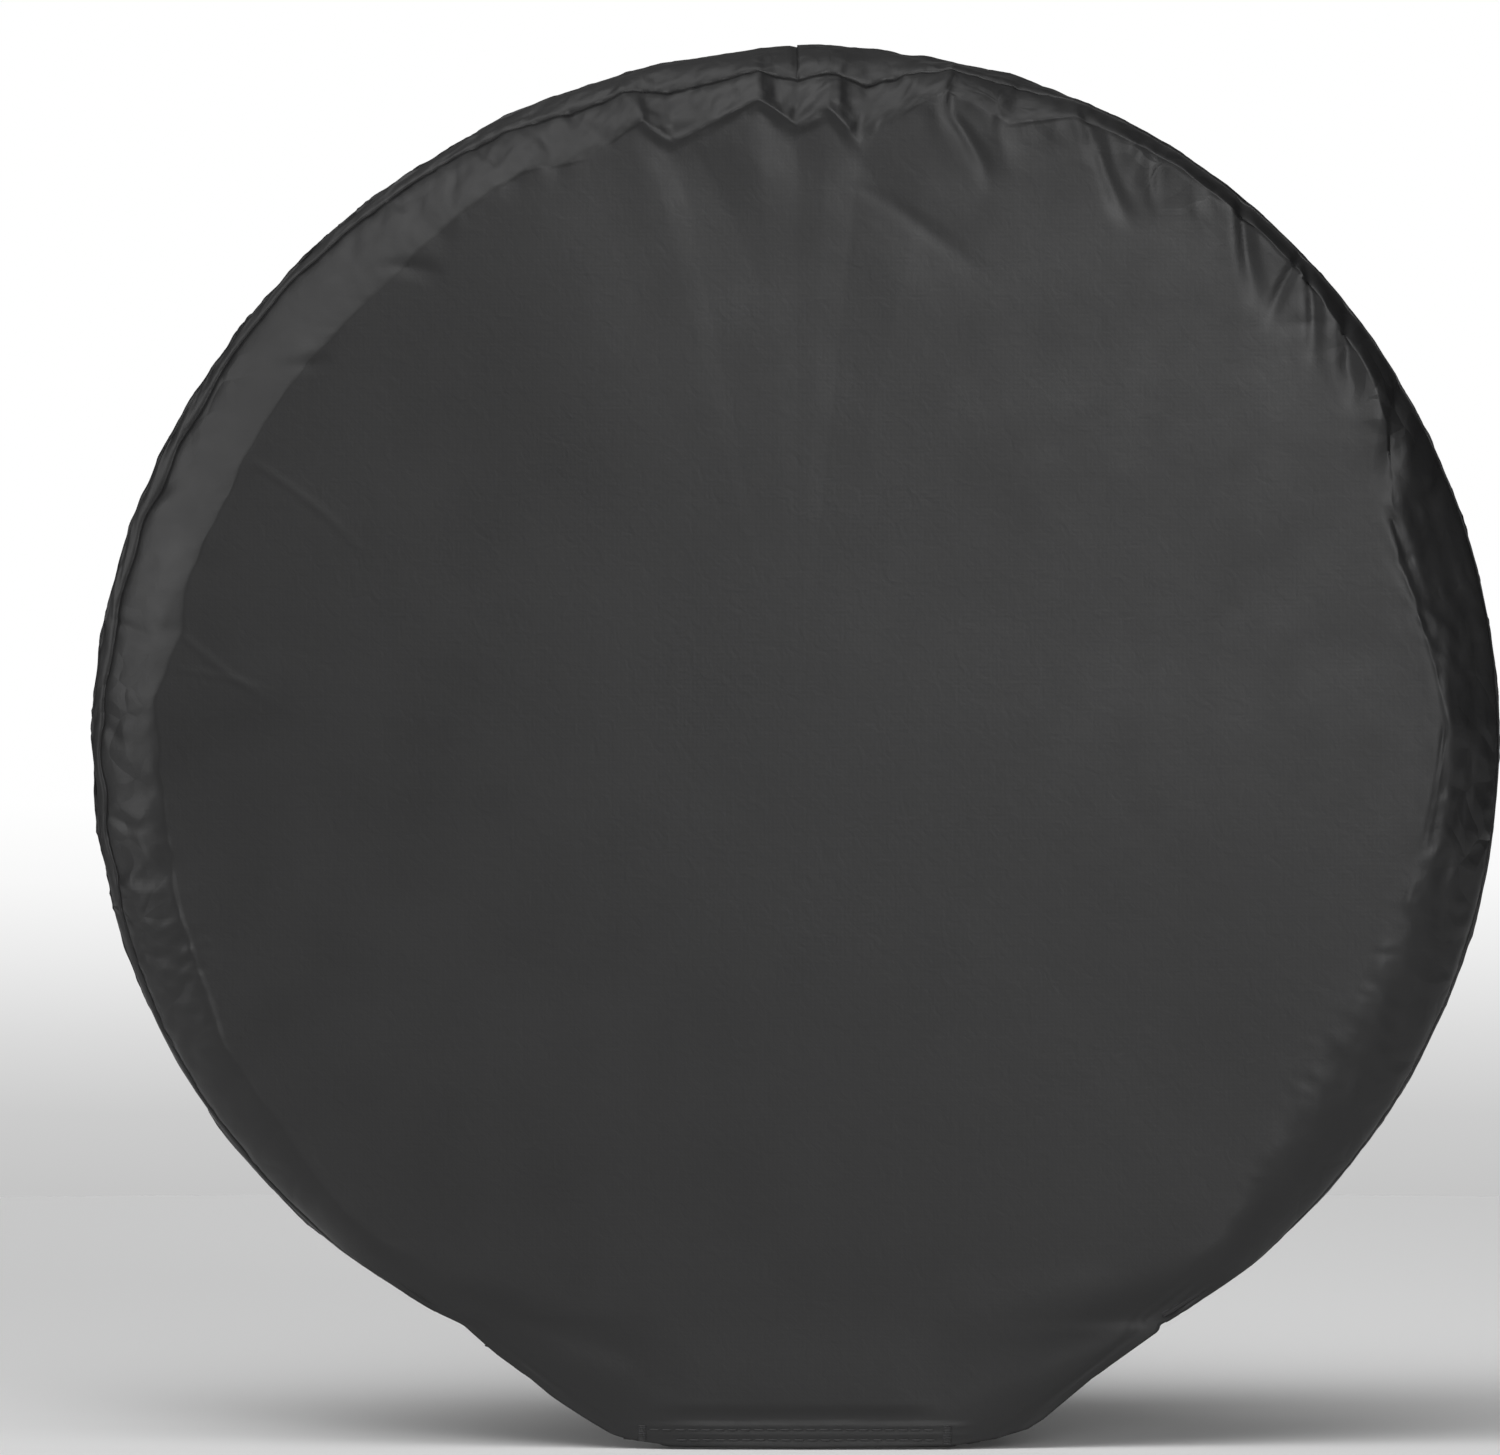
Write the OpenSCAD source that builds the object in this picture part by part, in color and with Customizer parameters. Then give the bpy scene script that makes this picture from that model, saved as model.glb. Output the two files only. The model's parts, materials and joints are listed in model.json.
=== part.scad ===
// Wheel and spare tyre cover: a drum of coated cloth with a round front, a side band over the tread,
// a hemmed bib at the foot and a rear edge drawn in behind the tyre by an elastic hem.
//
// The cover is drawn lying on its back, with the wheel axis along +Z, the tyre's middle plane at
// z = 0 and the front on top. stand_up() then stands it on its foot: the front looks along -Y, the
// tyre goes in from +Y and +Z is up. Angles run anticlockwise from the right, as seen from the front.

/* [Tyre seat] */
// Inside diameter of the side band, which is the tread diameter of the largest tyre it takes
seat_d = 680; // [660:1:720]
// Distance from the tyre's middle plane to the outside of the front
front_depth = 105; // [100:1:115]
// Distance from the tyre's middle plane to the line where the cloth turns in behind the tyre
turn_depth = 45; // [40:1:55]

/* [Cloth] */
// Thickness of the coated cloth and its backing, with the slack of its folds
cloth_t = 1.5; // [1.2:0.1:1.6]
// Thickness of tapes and turned hems, pressed flat
tape_t = 0.8; // [0.5:0.1:0.9]
// Radius of the rounded shoulder between the front and the side band
shoulder_r = 28; // [26:1:32]
// Place of the front seam on the shoulder, as an angle up from the side band
seam_angle = 30; // [24:1:40]

/* [Foot and bib] */
// Half of the angle that the side band leaves open for the tyre's foot
foot_half_angle = 32.5; // [30:0.5:34]
// Height of the bib, from its fold line to its lowest edge
bib_h = 68; // [60:1:76]
// Half of the bib's width at the corners of its hem
bib_foot_half_w = 104; // [98:1:110]
// Height of the bib's turned-up hem
bib_hem_h = 16; // [14:1:20]

/* [Rear hem] */
// Radius of the cloth's curve in behind the tyre
curl_r = 117; // [112:1:122]
// Angle of that curve, up to the elastic
curl_angle = 73; // [70:1:75]
// Number of gathers in the elastic hem
gather_count = 16; // [14:1:17]
// Diameter of the elastic cord
elastic_d = 4.8; // [4:0.2:5.2]

/* [Stitching] */
// Distance from one stitch to the next
stitch_pitch = 6.5; // [6:0.1:7]
// Length of one stitch on the outside of the cloth
stitch_l = 4.6; // [4:0.1:5]
// Thickness of the sewing thread
thread_d = 0.9; // [0.6:0.1:1]

/* [Hidden] */
$fn = 48;

seat_r = seat_d / 2;
band_r = seat_r + cloth_t;                // outside of the side band
face_r = band_r - shoulder_r;             // edge of the flat front
shoulder_z = front_depth - shoulder_r;
shoulder_centre = [face_r, shoulder_z];
seam_gap_angle = 0.4;                     // half of the gap at the front seam, round the shoulder
sewn_gap = 0.05;                          // gap between pieces that are sewn together
arc_steps = 8;

band_start = foot_half_angle - 90;        // the band's lower right end
band_sweep = 360 - 2 * foot_half_angle;
join_gap_angle = 0.02;                    // half of the gap where the two bands meet, at the top

// Fold line of the bib, level with the ends of the side band
fold_gap = 1.4;                           // from the fold line to each of the two edges beside it
fold_y = -band_r * cos(foot_half_angle) + fold_gap;
bib_top_half_w = band_r * sin(foot_half_angle) - 1;
bib_knee = [bib_top_half_w * 0.74, fold_y - bib_h * 0.515];
bib_corner = [bib_foot_half_w, fold_y - bib_h * 0.9];
bib_low = fold_y - bib_h;
bib_side = [[bib_top_half_w, fold_y - fold_gap], bib_knee, bib_corner,
            [bib_foot_half_w * 0.55, bib_low + 1.6]];
bib_outline = concat(bib_side, [[0, bib_low]], mirrored(bib_side));

// Rear gathers: one arc in the profile plane, from the turn line in to the elastic
turn_gap = 1.2;                           // between the side band and the gathers
curl_mid_r = seat_r + cloth_t / 2;
curl_centre = [curl_mid_r - curl_r, -turn_depth - turn_gap];
curl_l = curl_r * curl_angle * PI / 180;
gather_pitch = band_sweep / gather_count;
gather_gap = 0.14;                        // angle left free between two gathers
tunnel_in_r = elastic_d / 2 + 0.4;
tunnel_r = tunnel_in_r + 1.2;
elastic_pos = on_curl(curl_l);

// Each gather laps over the next one, so that the hem stays closed when it is stretched open
lap_lift = 3;                             // from the middle of the cloth to the middle of the lap
lap_root = 15;                            // where the lap starts, along the curl
lap_tip = curl_l - 9;                     // where it ends
lap_spread = 0.29;                        // width of the lap for each millimetre along the curl
lap_join_angle = 1;

bib_tack_x = 76;                          // bar tacks at the ends of the straight stitching
upper_row_h = 10;                         // heights of the two rows above the bib's lowest edge
lower_row_h = 3.6;

function numbered(name, i) = str(name, i < 10 ? "0" : "", i);
function reversed(list) = [for (i = [len(list) - 1:-1:0]) list[i]];
function mirrored(points) = [for (p = reversed(points)) [-p[0], p[1]]];
function polar(r, a) = r * [cos(a), sin(a)];

// Points of an arc round a centre, from angle a to angle b
function arc(centre, r, a, b) =
    [for (i = [0:arc_steps]) centre + polar(r, a + (b - a) * i / arc_steps)];

// A ring segment between two radii, as a closed outline
function ring_part(centre, outer_r, inner_r, a, b) =
    concat(arc(centre, outer_r, a, b), reversed(arc(centre, inner_r, a, b)));

// The point at a length s along the middle of the rear curl, and its angle on the curl
function curl_turn(s) = -s / curl_r * 180 / PI;
function on_curl(s) = curl_centre + polar(curl_r, curl_turn(s));

// Start of gather i, as an angle round the wheel
function gather_from(i) = band_start + (i - 1) * gather_pitch;

module stand_up() rotate([90, 0, 0]) children();

// Turns a profile, drawn as [radius, z], through part of a circle
module swept(from, sweep) rotate([0, 0, from]) rotate_extrude(angle = sweep, $fn = 128) children();

// Places flat work on the front: its outline is the front view, and z = 0 is the cloth's outside
module on_front() translate([0, 0, front_depth]) children();

module cloth_colour() color([0.06, 0.06, 0.065]) children();
module tape_colour() color([0.10, 0.10, 0.105]) children();
module thread_colour() color([0.16, 0.16, 0.165]) children();
module elastic_colour() color([0.03, 0.03, 0.03]) children();

// ---- Front ----

// The flat front: a disc that is cut off at the bib's fold line, with its two lower corners
module front_outline() {
    cut_y = fold_y + fold_gap;
    inside = polar(face_r - 4, band_start - 1);
    corner = [[bib_top_half_w - 3, cut_y], inside, inside + [-40, 60]];
    difference() {
        circle(r = face_r, $fn = 128);
        translate([-face_r, cut_y - face_r]) square([2 * face_r, face_r]);
    }
    polygon(concat(corner, mirrored(corner)));
}

// The cloth round the shoulder, with a tongue that runs into the flat front
module shoulder_profile() {
    top_angle = 88;
    low_angle = seam_angle + seam_gap_angle;
    tongue_end = [face_r - 3, front_depth - cloth_t / 2];
    tongue_half_t = cloth_t * 0.3;
    polygon(concat(
        [tongue_end + [0, tongue_half_t]],
        arc(shoulder_centre, shoulder_r, top_angle, low_angle),
        reversed(arc(shoulder_centre, shoulder_r - cloth_t, top_angle, low_angle)),
        [tongue_end - [0, tongue_half_t]]));
}

module front_panel() cloth_colour() union() {
    on_front() translate([0, 0, -cloth_t]) linear_extrude(cloth_t) front_outline();
    swept(band_start, band_sweep) shoulder_profile();
}

// ---- Side band ----

module band_profile() {
    polygon(ring_part(shoulder_centre, shoulder_r, shoulder_r - cloth_t,
                      0, seam_angle - seam_gap_angle));
    translate([seat_r, -turn_depth]) square([cloth_t, turn_depth + shoulder_z]);
}

module side_band(from) cloth_colour()
    swept(from + join_gap_angle, band_sweep / 2 - 2 * join_gap_angle) band_profile();

// Tape inside the band, over the join at the top
module band_join_tape() tape_colour() {
    half_angle = 1.5;
    swept(90 - half_angle, 2 * half_angle)
        translate([seat_r - tape_t, 3 - turn_depth]) square([tape_t, turn_depth + shoulder_z - 6]);
}

module band_join_threads() thread_colour()
    for (side = [-1, 1]) rotate([0, 0, 90 + side])
        translate([band_r + thread_d / 2 + sewn_gap, 0, 3 - turn_depth])
            cylinder(d = thread_d, h = turn_depth + shoulder_z - 6, $fn = 16);

// The band's end, turned in and pressed flat
module band_end_hem(from) tape_colour() {
    hem_angle = 2.4;
    swept(from, hem_angle)
        translate([seat_r - tape_t, 1 - turn_depth]) square([tape_t, turn_depth + shoulder_z - 2]);
}

// ---- Front seam ----

// Bias tape over the seam's raw edges, flat against the inside of the shoulder
module front_seam_binding() tape_colour() {
    half_angle = 15;
    outer = shoulder_r - cloth_t - sewn_gap;
    swept(band_start, band_sweep)
        polygon(ring_part(shoulder_centre, outer, outer - tape_t,
                          seam_angle - half_angle, seam_angle + half_angle));
}

module front_seam_thread() thread_colour() {
    inside = shoulder_r - cloth_t - tape_t - 2 * sewn_gap - thread_d / 2;
    swept(band_start, band_sweep)
        translate(shoulder_centre + polar(inside, seam_angle)) circle(d = thread_d, $fn = 16);
}

// ---- Bib ----

module bib_panel() cloth_colour()
    on_front() translate([0, 0, -cloth_t]) linear_extrude(cloth_t) polygon(bib_outline);

// Flat pieces inside the bib
module behind_bib() on_front() translate([0, 0, -cloth_t - sewn_gap - tape_t])
    linear_extrude(tape_t) children();

module bib_bottom_hem() tape_colour() {
    lift = 0.6;
    low = [[bib_corner[0] - 6, bib_corner[1] + 1.5 * lift],
           [bib_side[3][0], bib_side[3][1] + lift], [0, bib_low + lift]];
    low_edge = concat(low, mirrored([low[0], low[1]]));
    behind_bib() polygon(concat(low_edge, reversed([for (p = low_edge) p + [0, bib_hem_h]])));
}

// The rolled edge of the bib's sloping side
module bib_edge_hem() tape_colour() {
    width = 7;
    inset = 0.8;
    top = bib_side[0] + [-2, -2];
    foot = bib_knee;
    along = (foot - top) / norm(foot - top);
    inward = [-abs(along[1]), abs(along[0])];
    behind_bib() polygon([top + inward * inset, foot + inward * inset, foot + inward * width,
                          top + inward * width + along * width]);
}

// A straight row of stitches, from x1 to x2 at a height above the bib's lowest edge
module stitch_row(x1, x2, height) thread_colour()
    for (i = [0:floor((x2 - x1 - stitch_l) / stitch_pitch)])
        on_front() translate([x1 + i * stitch_pitch, bib_low + height, thread_d / 2 + sewn_gap])
            rotate([0, 90, 0]) cylinder(d = thread_d, h = stitch_l, $fn = 16);

module bib_bar_tacks() thread_colour() {
    tack_w = 1.8;
    tack_h = 9;
    for (x = [-bib_tack_x, bib_tack_x])
        on_front() translate([x - tack_w / 2, bib_low + lower_row_h - 1, sewn_gap])
            cube([tack_w, tack_h, thread_d]);
}

// ---- Rear hem ----

module curl_profile() {
    into_tunnel = (tunnel_r + tunnel_in_r) / 2;
    polygon(ring_part(curl_centre, curl_r + cloth_t / 2, curl_r - cloth_t / 2,
                      0, curl_turn(curl_l - into_tunnel)));
}

module tunnel_profile() translate(elastic_pos) difference() {
    circle(r = tunnel_r);
    circle(r = tunnel_in_r);
}

// The lap's outline in the front view, from inside its own gather out over the next one
function lap_outline(end) = let (inner = on_curl(lap_tip)[0] - 10, outer = band_r + 10) concat(
    [polar(inner, end - 3 * lap_join_angle), polar(outer, end - 3 * lap_join_angle)],
    [for (i = [0:6])
        let (s = lap_root + (lap_tip - lap_root) * i / 6, r = on_curl(s)[0])
        polar(i == 0 ? outer : r, end + lap_spread * s / r * 180 / PI)],
    [polar(inner, end + lap_spread * lap_tip / inner * 180 / PI)]);

// A layer over the curl, between two distances out from its middle and two places along it
module over_curl(low, high, from_s, to_s)
    polygon(ring_part(curl_centre, curl_r + high, curl_r + low, curl_turn(from_s), curl_turn(to_s)));

// The lap stands on the edge of its own gather and is hollow where the next gather lies
module gather_lap(end) {
    under = 3;
    reach = lap_spread * lap_tip / on_curl(lap_tip)[0] * 180 / PI + 2;
    difference() {
        intersection() {
            swept(end - lap_join_angle, lap_join_angle + reach)
                over_curl(0, lap_lift + cloth_t / 2, lap_root, lap_tip);
            translate([0, 0, -turn_depth - 2 * curl_r]) linear_extrude(2 * curl_r)
                polygon(lap_outline(end));
        }
        swept(end, reach + 5)
            over_curl(-under, lap_lift - cloth_t / 2, lap_root - under, lap_tip + under);
    }
}

module rear_gather(i) cloth_colour() union() {
    start = gather_from(i) + gather_gap / 2;
    sweep = gather_pitch - gather_gap;
    swept(start, sweep) curl_profile();
    swept(start, sweep) tunnel_profile();
    if (i < gather_count) gather_lap(start + sweep);
}

module hem_elastic(i) elastic_colour()
    swept(gather_from(i) + gather_gap / 2, gather_pitch - gather_gap)
        translate(elastic_pos) circle(d = elastic_d, $fn = 32);

// Thread wrapped round the tunnel, where an end of the elastic is sewn down
module elastic_end_tack(from) thread_colour()
    swept(from, 0.6) translate(elastic_pos) difference() {
        circle(r = tunnel_r + thread_d);
        circle(r = tunnel_r + sewn_gap);
        rotate(90 - curl_angle) translate([0, -tunnel_r]) square([2, 2] * tunnel_r);
    }

end_tack_inset = 1;
left_tack_from = 180 - band_start - end_tack_inset - 0.6;

stand_up() front_panel();
stand_up() side_band(90);  // side_band_left
stand_up() side_band(band_start);  // side_band_right
stand_up() front_seam_binding();
stand_up() front_seam_thread();
stand_up() band_join_tape();
stand_up() band_join_threads();
stand_up() mirror([1, 0, 0])  // band_end_hem_left
    band_end_hem(band_start);
stand_up() band_end_hem(band_start);  // band_end_hem_right
stand_up() bib_panel();
stand_up() bib_bottom_hem();
stand_up() mirror([1, 0, 0]) bib_edge_hem();  // bib_edge_hem_left
stand_up() bib_edge_hem();  // bib_edge_hem_right
stand_up()  // bib_upper_stitches
    stitch_row(-bib_tack_x + 3, bib_tack_x - 2, upper_row_h);
stand_up()  // bib_lower_stitches
    stitch_row(-bib_tack_x + 30, bib_tack_x - 2, lower_row_h);
stand_up() bib_bar_tacks();
stand_up() elastic_end_tack(left_tack_from);  // elastic_end_tack_left
stand_up()  // elastic_end_tack_right
    elastic_end_tack(band_start + end_tack_inset);
for (i = [1:gather_count])
    stand_up() rear_gather(i);
for (i = [1:gather_count])
    stand_up() hem_elastic(i);
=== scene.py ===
"""Looks for the wheel and spare tyre cover: coated black cloth, gathered round a drum, with its hems.

Every surface comes from one drum, drawn as a path that runs from the middle of the front, over the
shoulder, the front seam and the side band, and in behind the tyre to the elastic. Places on it are
an angle round the wheel (anticlockwise from the right, seen from the front) and a way along the path.
Lengths are in metres unless a name ends in _mm.
"""

import json
import math

import bpy
import numpy as np
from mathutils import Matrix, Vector


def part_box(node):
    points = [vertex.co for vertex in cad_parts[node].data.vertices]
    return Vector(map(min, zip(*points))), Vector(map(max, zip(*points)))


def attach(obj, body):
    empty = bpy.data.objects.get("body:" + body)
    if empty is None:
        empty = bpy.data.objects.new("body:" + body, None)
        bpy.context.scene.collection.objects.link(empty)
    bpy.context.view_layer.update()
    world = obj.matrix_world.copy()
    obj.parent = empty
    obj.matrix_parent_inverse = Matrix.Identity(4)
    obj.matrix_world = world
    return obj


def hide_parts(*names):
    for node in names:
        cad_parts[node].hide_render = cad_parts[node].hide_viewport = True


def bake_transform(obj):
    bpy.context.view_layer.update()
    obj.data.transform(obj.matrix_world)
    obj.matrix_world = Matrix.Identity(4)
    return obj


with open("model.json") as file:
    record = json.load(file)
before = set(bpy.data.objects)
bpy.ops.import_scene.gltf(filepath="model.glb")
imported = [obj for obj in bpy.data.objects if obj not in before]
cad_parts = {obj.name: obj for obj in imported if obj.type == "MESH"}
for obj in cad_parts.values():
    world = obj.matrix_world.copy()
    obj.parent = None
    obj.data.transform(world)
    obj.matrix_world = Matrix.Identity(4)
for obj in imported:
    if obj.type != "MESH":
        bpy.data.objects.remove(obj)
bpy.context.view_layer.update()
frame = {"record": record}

MM = 0.001

# ---- The drum's measures, from the frame ----

FRONT_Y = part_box("front_panel")[0][1]
BAND_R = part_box("side_band_left")[1][2]
FOOT_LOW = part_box("bib_panel")[0][2]
BIB_TOP_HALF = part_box("bib_panel")[1][0]
joints = {j["name"]: j for j in frame["record"]["behaviour"]["joints"]}
TURN_Y = joints["hem_open"]["pos_m"][1]
TURN_R = math.hypot(joints["hem_open"]["pos_m"][0], joints["hem_open"]["pos_m"][2])
FOLD_Y, FOLD_Z = joints["bib_fold"]["pos_m"][1:]
GATHERS = sum(name.startswith("hem_open") for name in joints)

BAND_END = math.atan2(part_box("side_band_right")[0][2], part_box("bib_panel")[1][0])
BAND_SWEEP = -2 * BAND_END + math.pi
PITCH = BAND_SWEEP / GATHERS

CLOTH_T = 0.9 * MM                      # visible thickness of the cloth


# ---- Small maths ----

def smooth(x, low, high):
    """0 below low, 1 above high and a smooth step between."""
    t = np.clip((x - low) / (high - low), 0, 1)
    return t * t * (3 - 2 * t)


def bell(x, width):
    return np.exp(-((x / width) ** 2))


def unit(vectors):
    """The vectors of an array's last axis, each made 1 long."""
    return vectors / np.maximum(np.linalg.norm(vectors, axis=-1, keepdims=True), 1e-12)


def facing(vectors, outward):
    """The vectors, each turned to the same side as outward."""
    return vectors * np.sign((vectors * outward).sum(-1, keepdims=True))


def noise(x, y, seed):
    """Smooth noise from about -1 to 1 at the points x, y, always the same for one seed."""
    table = np.random.RandomState(seed).permutation(512)
    turn = np.random.RandomState(seed + 1).uniform(0, 2 * math.pi, 512)
    gx, gy = np.cos(turn), np.sin(turn)
    x, y = np.broadcast_arrays(x, y)
    ix, iy = np.floor(x).astype(int), np.floor(y).astype(int)
    fx, fy = x - ix, y - iy

    def corner(dx, dy):
        k = table[(ix + dx + table[(iy + dy) % 512]) % 512]
        return gx[k] * (fx - dx) + gy[k] * (fy - dy)

    ux = fx * fx * fx * (fx * (fx * 6 - 15) + 10)
    uy = fy * fy * fy * (fy * (fy * 6 - 15) + 10)
    low = corner(0, 0) * (1 - ux) + corner(1, 0) * ux
    high = corner(0, 1) * (1 - ux) + corner(1, 1) * ux
    return 1.5 * (low * (1 - uy) + high * uy)


def crumple(x, y, seed, octaves):
    """Sharp creases between rounder facets, from about -1 to 1."""
    total, size = 0, 0
    for k in range(octaves):
        f, a = 2.0 ** k, 0.55 ** k
        wx = x * f + 0.45 * noise(x * f * 0.7 + 9.1, y * f * 0.7, seed + 31 * k + 5)
        wy = y * f + 0.45 * noise(x * f * 0.7, y * f * 0.7 + 4.7, seed + 31 * k + 7)
        total = total + a * (1 - 2.6 * np.abs(noise(wx, wy, seed + 31 * k)))
        size += a
    return total / size


# ---- The drum's shape ----

OUTLINE_MM = 346.3
OUTLINE_WAVES_MM = ((1.1, 3.7), (5.3, 0.7), (-2.0, -2.0))    # cosine and sine, for 1, 2 and 3 waves round
FOOT_PULL_MM = 2.2


def outer_r(angle):
    """Radius of the cover's outline, slightly egg-shaped and pulled in beside the foot."""
    r = OUTLINE_MM
    for k, (c, s) in enumerate(OUTLINE_WAVES_MM, 1):
        r = r + c * np.cos(k * angle) + s * np.sin(k * angle)
    at_foot = smooth(-np.sin(angle), 0.68, 0.88)
    return (r - (FOOT_PULL_MM - FOOT_PULL_MM * np.cos(angle)) * at_foot) * MM


def degrees_from(angle, place):
    """Signed difference in degrees, wrapped to -180..180."""
    return (np.degrees(angle) - place + 180) % 360 - 180


# Where the flat front ends and the shoulder starts: angle in degrees and radius in mm. The cloth is
# pulled over a round edge, so this line is a chain of short creases, with scallops over the top.
FACE_EDGE = (
    (-57.5, 329), (-50, 322), (-44, 308), (-37, 301), (-30, 301), (-23, 304), (-17, 309), (-12, 314),
    (-6, 317), (1.5, 322), (8.5, 316), (16.5, 311), (21, 316), (27, 330), (33, 337), (44, 341), (57, 341),
    (66, 338), (71, 322), (77, 331), (84, 297), (87.2, 313), (90, 304), (93.5, 317), (97.5, 309),
    (101.5, 303), (104, 316), (110, 306), (116, 313), (124, 308), (131.5, 304), (141, 306), (146, 307),
    (151, 307), (158, 308), (164, 312), (166.5, 313), (170, 309), (176.2, 319), (185.6, 315), (191, 316),
    (197, 317), (202, 317), (208, 321), (215, 319), (221, 321), (232, 328), (237.5, 330), (270, 331),
    (302.5, 329),
)


def face_r(angle):
    """Radius where the flat front ends."""
    places, radii = zip(*FACE_EDGE)
    at = (np.degrees(angle) + 57.5) % 360 - 57.5
    fine = 0.9 * noise(angle * 17, angle * 13, 41)
    return (np.interp(at, places, radii) + fine) * MM


def seam_share(angle):
    """How far out on the shoulder the front seam lies, from 0 at the flat front to 1."""
    left = bell(degrees_from(angle, 170), 34)
    zigzag = 0.16 * noise(angle * 9.7, 0 * angle, 43) * left
    right = 0.05 * smooth(np.cos(angle), 0.2, 0.6)
    return 0.92 - 0.35 * bell(degrees_from(angle, 92), 27) - 0.10 * left + zigzag + right


def bevel(angle):
    """1 is a round shoulder, and 2 a straight bevel."""
    left = bell(degrees_from(angle, 152), 46)
    right = bell(degrees_from(angle, 7), 20)
    low_right = bell(degrees_from(angle, -38), 20)
    return 1.25 + 0.65 * left + 0.5 * right - 0.25 * low_right


SHOULDER_DEEP = 27 * MM
FACE_DOME = 4 * MM
FACE_Y = FRONT_Y + 0.6 * MM


def shoulder(angle, turn):
    """Radius and depth on the shoulder, with turn from 0 at the flat front to 90 degrees at the band."""
    inner, outer, power = face_r(angle), outer_r(angle), bevel(angle)
    r = inner + (outer - inner) * np.sin(turn) ** power
    y = FACE_Y + SHOULDER_DEEP * (1 - np.cos(turn) ** power)
    return r, y


def seam_turn(angle):
    return np.arcsin(seam_share(angle) ** (1 / bevel(angle)))


BIB_SIDE = (                            # the bib's outline, as shares of its half width and height
    (1.0, 0.0), (0.764, 0.453), (0.633, 0.746), (0.591, 0.818), (0.50, 0.891), (0.384, 0.935), (0.0, 0.956))
BIB_EDGE = [(BIB_TOP_HALF * x, FOLD_Z + (FOOT_LOW - FOLD_Z) * h) for x, h in BIB_SIDE]
BIB_LOW = BIB_EDGE[-1][1]
BIB_LEAN = 6.8 * MM


def bib_lean(x, z):
    """The bib hangs a little to the right of the wheel's middle, with a sharper step on its left."""
    late = 3 * MM * smooth(x, -0.15, 0.15)
    return BIB_LEAN * smooth(-z, -FOLD_Z - 3 * MM + late, -FOLD_Z + 5 * MM + late)


def inside_foot(angle):
    """How many degrees an angle is inside the foot, and below 0 along the band."""
    return 90 + math.degrees(BAND_END) - np.abs(degrees_from(angle, -90))


def bib_reach(angle):
    """Distance from the wheel's axis to the bib's edge, at angles across the foot."""
    x, z = np.abs(np.cos(angle)), np.sin(angle)
    reach = np.full(np.shape(angle), np.nan)
    for (x0, z0), (x1, z1) in zip(BIB_EDGE[:-1], BIB_EDGE[1:]):
        ex, ez = x1 - x0, z1 - z0
        cross = x * ez - z * ex
        t = (x0 * ez - z0 * ex) / np.where(np.abs(cross) < 1e-9, 1e-9, cross)
        px, pz = t * x, t * z
        along = ((px - x0) * ex + (pz - z0) * ez) / (ex * ex + ez * ez)
        hit = (along >= -1e-6) & (along <= 1 + 1e-6) & (t > 0)
        reach = np.where(hit & np.isnan(reach), t, reach)
    outline = outer_r(angle)
    reach = np.minimum(reach, outline + 1.6 * MM * np.maximum(inside_foot(angle), 0))
    return np.where(np.isnan(reach), outline, outline + (reach - outline) * in_foot(angle, 1.2))


def in_band(angle, soft):
    """0 across the foot, rising to 1 over soft degrees from the ends of the side band."""
    return smooth(-inside_foot(angle), -0.01, soft)


def in_foot(angle, soft):
    """1 across the foot, falling to 0 at its ends over soft degrees."""
    return smooth(inside_foot(angle), 0, soft)


# ---- Folds and creases ----

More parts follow.
